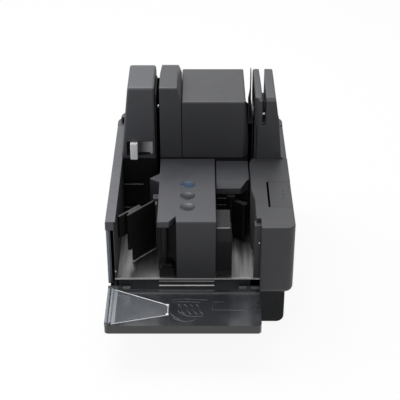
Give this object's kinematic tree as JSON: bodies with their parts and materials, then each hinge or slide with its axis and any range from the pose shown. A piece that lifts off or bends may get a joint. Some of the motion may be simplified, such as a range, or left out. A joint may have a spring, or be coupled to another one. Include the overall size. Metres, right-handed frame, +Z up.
{
  "type": "cheque scanner",
  "caption": "Desktop cheque scanner with a fold-down front tray, control tower, upright document track, card slot and hinged covers.",
  "frame": {"origin": "on the table, under the centre of the bounding box with the front tray folded down", "axes": "+X to the right, +Y to the rear, +Z up"},
  "size_m": [0.19, 0.2916, 0.2134],
  "materials": {
    "casing_grey": "fine spark-eroded texture, semi-matt",
    "base_charcoal": "fine texture, matt",
    "inner_black": "satin black moulding",
    "panel_grey": "fine texture, semi-matt",
    "tray_gloss": "glossy dark moulding",
    "clear_plastic": "clear smoky plastic, polished edges",
    "floor_steel": "brushed along the depth",
    "bright_steel": "turned or stamped, plain",
    "button_grey": "satin",
    "power_blue": "translucent, dimly lit",
    "white_tab": "satin white",
    "cap_grey": "satin",
    "rubber": "ground rubber",
    "belt": "toothed belt, matt",
    "dark_steel": "blackened steel pins",
    "spring_steel": "drawn wire",
    "motor_zinc": "zinc plated",
    "board_green": "solder mask",
    "cartridge_blue": "moulded",
    "sensor_black": "black housing with a glass window",
    "socket_metal": "plated shell",
    "strip_blue_grey": "translucent blue-grey"
  },
  "bodies": {
    "base": {"base_pan": "base_charcoal", "base_screws": "bright_steel", "card_head": "socket_metal", "centre_housing": "casing_grey", "control_panel": "panel_grey", "data_socket": "socket_metal", "drive_belt": "belt", "feed_block": "cap_grey", "fin_housing": "casing_grey", "floor_plate": "floor_steel", "floor_standoffs": "bright_steel", "front_image_sensor": "sensor_black", "guide_bracket": "inner_black", "hinge_pins": "dark_steel", "hopper_back": "inner_black", "hopper_cover": "casing_grey", "ink_cartridge": "cartridge_blue", "inner_track_cover": "casing_grey", "left_end_strip": "strip_blue_grey", "left_front_casing": "casing_grey", "left_guide_plate": "inner_black", "left_rear_casing": "casing_grey", "magnetic_ink_head": "socket_metal", "main_board": "board_green", "motor": "motor_zinc", "panel_board": "board_green", "pocket_back_wall": "inner_black", "power_inlet": "sensor_black", "rear_casing": "casing_grey", "rear_image_sensor": "sensor_black", "right_front_casing": "casing_grey", "right_guide_plate": "inner_black", "rubber_feet": "rubber", "torsion_springs": "spring_steel", "tower_foot_strips": "bright_steel", "tower_housing": "casing_grey", "turn_drum": "inner_black", "turn_guide": "inner_black"},
    "front_tray": {"front_tray": "tray_gloss", "flap_rail": "clear_plastic", "tray_hinge_pins": "dark_steel"},
    "clear_flap": {"clear_flap": "clear_plastic"},
    "left_track_cover": {"left_track_cover": "casing_grey", "lever_pin": "bright_steel"},
    "release_lever": {"lever_plate": "bright_steel", "release_tab": "white_tab"},
    "imprinter_lid": {"imprinter_lid": "panel_grey"},
    "power_button": {"power_button": "power_blue"},
    "start_button": {"start_button": "button_grey"},
    "stop_button": {"stop_button": "button_grey"},
    "pocket_paddle": {"pocket_paddle": "inner_black"},
    "press_arm": {"press_arm": "inner_black"},
    "motor_pulley": {"motor_pulley": "bright_steel"},
    "feed_drive": {"feed_shaft": "bright_steel", "feed_roller": "rubber"},
    "exit_drive": {"exit_shaft": "bright_steel", "exit_roller": "rubber"},
    "feed_idler": {"feed_idler": "rubber"},
    "exit_idler": {"exit_idler": "rubber"},
    "guide_idler": {"guide_idler": "inner_black"}
  },
  "joints": [
    {"name": "tray_fold", "type": "hinge", "parent": "base", "child": "front_tray", "pos_m": [0, -0.08225, 0.0485], "axis": [-1, 0, 0], "range_deg": [0, 90]},
    {"name": "flap_fold", "type": "hinge", "parent": "front_tray", "child": "clear_flap", "pos_m": [-0.0896, -0.11625, 0.0505], "axis": [0, -1, 0], "range_deg": [0, 90]},
    {"name": "left_cover_swing", "type": "hinge", "parent": "base", "child": "left_track_cover", "pos_m": [-0.0832, 0.07275, 0.133], "axis": [0, -1, 0], "range_deg": [0, 60]},
    {"name": "lever_pull", "type": "hinge", "parent": "left_track_cover", "child": "release_lever", "pos_m": [-0.0528, 0.05305, 0.14], "axis": [0, 0, 1], "range_deg": [0, 25], "stiffness_Nm_per_rad": 0.02},
    {"name": "lid_swing", "type": "hinge", "parent": "base", "child": "imprinter_lid", "pos_m": [0.0934, -0.02725, 0.1172], "axis": [0, 1, 0], "range_deg": [0, 100]},
    {"name": "power_press", "type": "slide", "parent": "base", "child": "power_button", "axis": [0, 0, -1], "range_m": [0, 0.001], "stiffness_N_per_m": 900},
    {"name": "start_press", "type": "slide", "parent": "base", "child": "start_button", "axis": [0, 0, -1], "range_m": [0, 0.001], "stiffness_N_per_m": 900},
    {"name": "stop_press", "type": "slide", "parent": "base", "child": "stop_button", "axis": [0, 0, -1], "range_m": [0, 0.001], "stiffness_N_per_m": 900},
    {"name": "paddle_swing", "type": "hinge", "parent": "base", "child": "pocket_paddle", "pos_m": [-0.0458, -0.02425, 0.09], "axis": [0, 0, 1], "range_deg": [0, 28], "stiffness_Nm_per_rad": 0.02},
    {"name": "press_arm_swing", "type": "hinge", "parent": "base", "child": "press_arm", "pos_m": [0.033, -0.00075, 0.086], "axis": [0, 0, 1], "range_deg": [-30, 0], "stiffness_Nm_per_rad": 0.02},
    {"name": "motor_spin", "type": "hinge", "parent": "base", "child": "motor_pulley", "pos_m": [0.01, 0.01475, 0.052], "axis": [0, 0, 1], "continuous": true},
    {"name": "feed_spin", "type": "hinge", "parent": "base", "child": "feed_drive", "pos_m": [0.06095, 0.01975, 0.085], "axis": [0, 0, 1], "continuous": true},
    {"name": "exit_spin", "type": "hinge", "parent": "base", "child": "exit_drive", "pos_m": [-0.05325, 0.06975, 0.085], "axis": [0, 0, 1], "continuous": true},
    {"name": "feed_idler_spin", "type": "hinge", "parent": "base", "child": "feed_idler", "pos_m": [0.04465, 0.01975, 0.085], "axis": [0, 0, 1], "continuous": true},
    {"name": "exit_idler_spin", "type": "hinge", "parent": "base", "child": "exit_idler", "pos_m": [-0.03695, 0.06975, 0.085], "axis": [0, 0, 1], "continuous": true},
    {"name": "guide_idler_spin", "type": "hinge", "parent": "base", "child": "guide_idler", "pos_m": [-0.036, -0.07105, 0.1], "axis": [0, 0, 1], "continuous": true}
  ],
  "couplings": [
    {"joint": "feed_spin", "follows": "motor_spin", "ratio": 0.66667},
    {"joint": "exit_spin", "follows": "motor_spin", "ratio": 0.66667},
    {"joint": "feed_idler_spin", "follows": "motor_spin", "ratio": -0.66667},
    {"joint": "exit_idler_spin", "follows": "motor_spin", "ratio": -0.66667}
  ]
}
